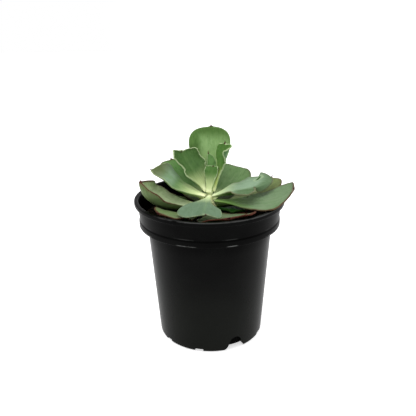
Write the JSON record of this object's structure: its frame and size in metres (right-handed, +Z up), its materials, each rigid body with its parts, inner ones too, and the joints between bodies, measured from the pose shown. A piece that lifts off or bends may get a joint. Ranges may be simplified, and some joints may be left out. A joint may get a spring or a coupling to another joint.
{
  "type": "potted echeveria",
  "caption": "Potted echeveria: a rosette of broad, fleshy, wavy-edged leaves in soil in a round tapered nursery pot.",
  "frame": {"origin": "centre of the pot's flat bottom, on the surface that the pot stands on", "axes": "+Z up along the pot's axis, and -Y towards the viewer of the picture"},
  "size_m": [0.0936, 0.09, 0.1274],
  "materials": {
    "black_plastic": "black moulded plastic with a soft sheen",
    "potting_soil": "dark, crumbly potting soil, matte",
    "stem_skin": "pale green stem, matte",
    "leaf_skin": "green succulent leaf with a waxy bloom and reddish margins"
  },
  "bodies": {
    "root": {"leaf_back_left": "leaf_skin", "leaf_back_tall": "leaf_skin", "leaf_front_left": "leaf_skin", "leaf_front_left_low": "leaf_skin", "leaf_front_low": "leaf_skin", "leaf_inner_back": "leaf_skin", "leaf_inner_right": "leaf_skin", "leaf_inner_small": "leaf_skin", "leaf_left": "leaf_skin", "leaf_left_low": "leaf_skin", "leaf_left_rear_low": "leaf_skin", "leaf_rear": "leaf_skin", "leaf_rear_left": "leaf_skin", "leaf_rear_left_low": "leaf_skin", "leaf_rear_low": "leaf_skin", "leaf_rear_right": "leaf_skin", "leaf_rear_right_low": "leaf_skin", "leaf_right": "leaf_skin", "leaf_right_front": "leaf_skin", "leaf_right_front_low": "leaf_skin", "leaf_right_low": "leaf_skin", "pot": "black_plastic", "soil": "potting_soil", "stem": "stem_skin"}
  },
  "joints": []
}
